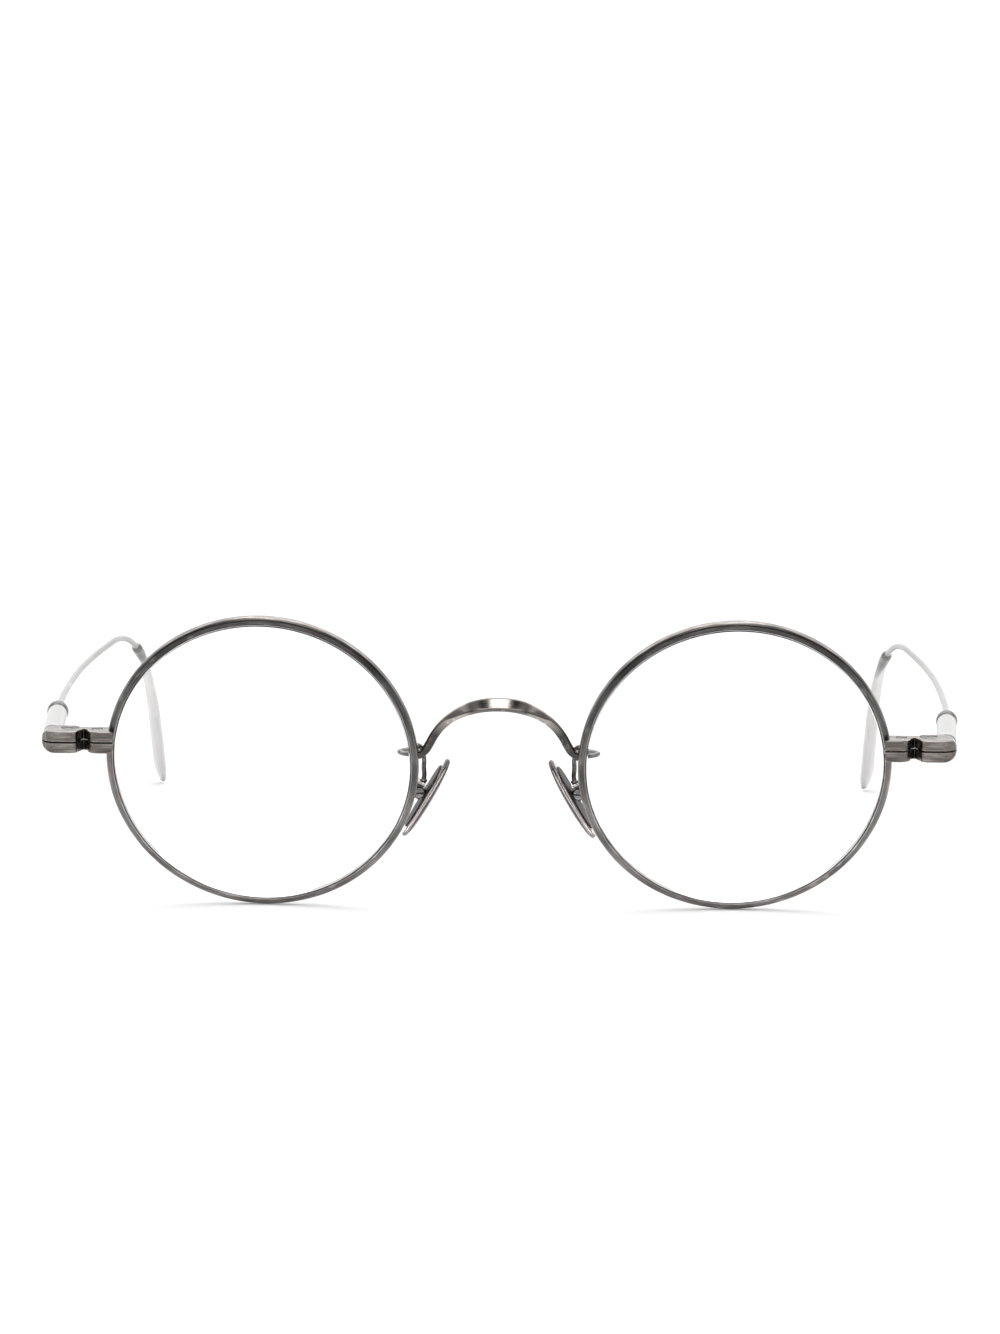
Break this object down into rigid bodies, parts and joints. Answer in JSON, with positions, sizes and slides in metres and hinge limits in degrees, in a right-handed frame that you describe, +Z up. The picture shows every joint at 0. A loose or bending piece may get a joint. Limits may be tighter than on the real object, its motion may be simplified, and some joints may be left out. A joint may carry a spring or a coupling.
{
  "type": "round wire eyeglasses",
  "caption": "Round metal wire-rim eyeglasses with a saddle bridge, adjustable nose pads and folding wire temples on two-plate hinge end pieces.",
  "frame": {"origin": "centre of the footprint on the surface that the rims and temple tips stand on", "axes": "+X to the wearer's left, +Y back along the open temples, +Z up; the rims face -Y"},
  "size_m": [0.1332, 0.1374, 0.043],
  "materials": {
    "antique_silver": "satin antique silver plating with fine brush lines, darker in recesses",
    "bright_silver": "polished silver plating",
    "dark_steel": "oxidised dark silver, semi-gloss",
    "lens_clear": "clear uncut demo lens, anti-reflective",
    "pad_resin": "translucent pinkish grey resin, polished"
  },
  "bodies": {
    "front": {"rim_left": "antique_silver", "rim_right": "antique_silver", "lens_left": "lens_clear", "lens_right": "lens_clear", "lug_upper_left": "antique_silver", "lug_upper_right": "antique_silver", "lug_lower_left": "antique_silver", "lug_lower_right": "antique_silver", "hinge_screw_left": "dark_steel", "hinge_screw_right": "dark_steel", "rim_screw_left": "dark_steel", "rim_screw_right": "dark_steel", "pad_arm_left": "dark_steel", "pad_arm_right": "dark_steel", "pad_box_left": "dark_steel", "pad_box_right": "dark_steel", "pad_screw_left": "dark_steel", "pad_screw_right": "dark_steel", "bridge": "antique_silver"},
    "temple_left": {"temple_leaf_left": "antique_silver", "temple_tube_left": "bright_silver", "temple_bead_left": "dark_steel", "temple_wire_left": "bright_silver", "temple_tip_left": "antique_silver"},
    "pad_left": {"nose_pad_left": "pad_resin", "pad_core_left": "dark_steel"},
    "temple_right": {"temple_leaf_right": "antique_silver", "temple_tube_right": "bright_silver", "temple_bead_right": "dark_steel", "temple_wire_right": "bright_silver", "temple_tip_right": "antique_silver"},
    "pad_right": {"nose_pad_right": "pad_resin", "pad_core_right": "dark_steel"}
  },
  "joints": [
    {"name": "temple_left_fold", "type": "hinge", "parent": "front", "child": "temple_left", "pos_m": [0.0609, -0.06143, 0.02441], "axis": [0, -0.0958, 0.9954], "range_deg": [0, 86]},
    {"name": "temple_right_fold", "type": "hinge", "parent": "front", "child": "temple_right", "pos_m": [-0.0609, -0.06143, 0.02441], "axis": [0, 0.0958, -0.9954], "range_deg": [0, 76]},
    {"name": "nose_pad_left_rock", "type": "hinge", "parent": "front", "child": "pad_left", "pos_m": [0.01134, -0.0556, 0.01658], "axis": [0, 0.9954, 0.0958], "range_deg": [-8, 8]},
    {"name": "nose_pad_right_rock", "type": "hinge", "parent": "front", "child": "pad_right", "pos_m": [-0.01134, -0.0556, 0.01658], "axis": [0, 0.9954, 0.0958], "range_deg": [-8, 8]}
  ]
}
